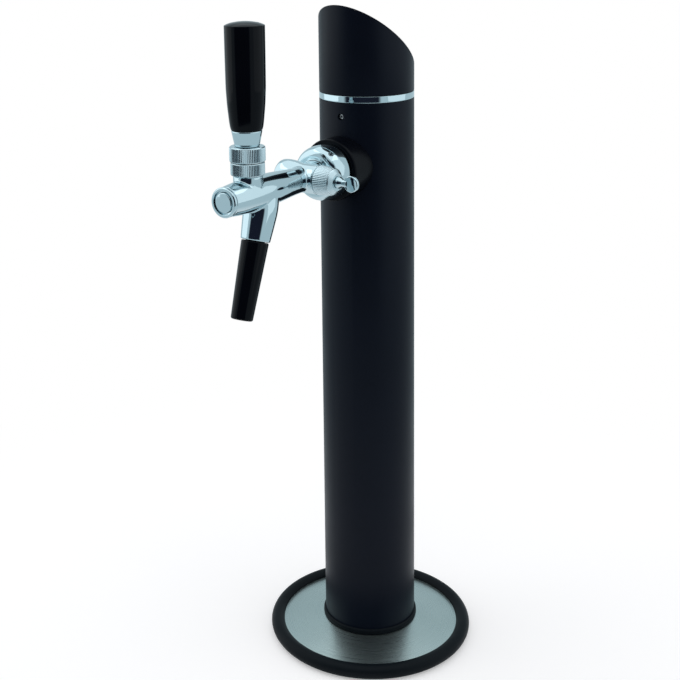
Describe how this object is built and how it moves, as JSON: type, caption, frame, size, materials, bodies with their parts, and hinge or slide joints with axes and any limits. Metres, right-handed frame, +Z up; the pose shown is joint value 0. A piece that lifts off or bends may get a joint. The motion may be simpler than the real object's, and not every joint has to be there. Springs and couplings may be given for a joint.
{
  "type": "beer tower dispenser",
  "caption": "Round counter-top column on a weighted foot with a slanted cap and a chrome compensator tap: tilting handle, sliding valve, side lever and tapered spout.",
  "frame": {"origin": "centre of the foot's underside, on the column's axis", "axes": "+Z up along the column, -Y the way the tap points, +X the side of the flow compensator's lever"},
  "size_m": [0.17, 0.2687, 0.5366],
  "materials": {
    "rubber": "satin",
    "brushed_steel": "brushed",
    "cast_iron": "rough",
    "plain_steel": "plain",
    "column_black": "satin",
    "chrome": "polished",
    "gloss_black": "gloss",
    "brass": "plain",
    "seal_white": "matte",
    "foam": "soft foam"
  },
  "bodies": {
    "tower": {"base_rubber_ring": "rubber", "anti_slip_pad": "rubber", "base_weight": "cast_iron", "base_cover": "brushed_steel", "foot_collar": "rubber", "column_foot_flange": "plain_steel", "column_screw_1": "plain_steel", "column_screw_2": "plain_steel", "column_screw_3": "plain_steel", "riser_grommet": "rubber", "column_tube": "column_black", "trim_ring": "chrome", "top_cap": "column_black", "cap_grub_screw": "plain_steel", "tap_rosette": "gloss_black", "saddle_washer": "plain_steel", "shank_lock_nut": "brass", "tap_shank": "brass", "riser_union_nut": "brass", "shank_seal_washer": "rubber", "riser_pipe": "plain_steel", "riser_foam_sleeve": "foam", "tap_flange_bell": "chrome", "bell_grub_screw": "plain_steel", "tap_body": "chrome", "nose_plug": "chrome", "nose_o_ring": "rubber", "valve_seat_ring": "seal_white", "bonnet_ring": "chrome", "spout_tube": "gloss_black", "spout_o_ring": "rubber", "compensator_gland_nut": "chrome", "compensator_o_ring": "rubber"},
    "handle": {"handle_union_nut": "chrome", "handle_ferrule": "chrome", "handle_grip": "gloss_black", "handle_stem": "plain_steel"},
    "piston": {"valve_piston": "plain_steel", "valve_seal": "rubber", "piston_o_ring": "rubber"},
    "lever": {"compensator_lever": "chrome"},
    "cone": {"compensator_cone": "seal_white"}
  },
  "joints": [
    {"name": "handle_tilt", "type": "hinge", "parent": "tower", "child": "handle", "pos_m": [0, -0.1553, 0.4297], "axis": [1, 0, 0], "range_deg": [0, 35]},
    {"name": "piston_slide", "type": "slide", "parent": "tower", "child": "piston", "axis": [0, 1, 0], "range_m": [0, 0.01]},
    {"name": "compensator_turn", "type": "hinge", "parent": "tower", "child": "lever", "pos_m": [0, -0.0865, 0.41], "axis": [1, 0, 0], "range_deg": [-50, 50]},
    {"name": "cone_slide", "type": "slide", "parent": "tower", "child": "cone", "axis": [0, -1, 0], "range_m": [-0.0016, 0.0016]}
  ],
  "couplings": [
    {"joint": "piston_slide", "follows": "handle_tilt", "m_per_rad": 0.0162},
    {"joint": "cone_slide", "follows": "compensator_turn", "m_per_rad": 0.00182}
  ]
}
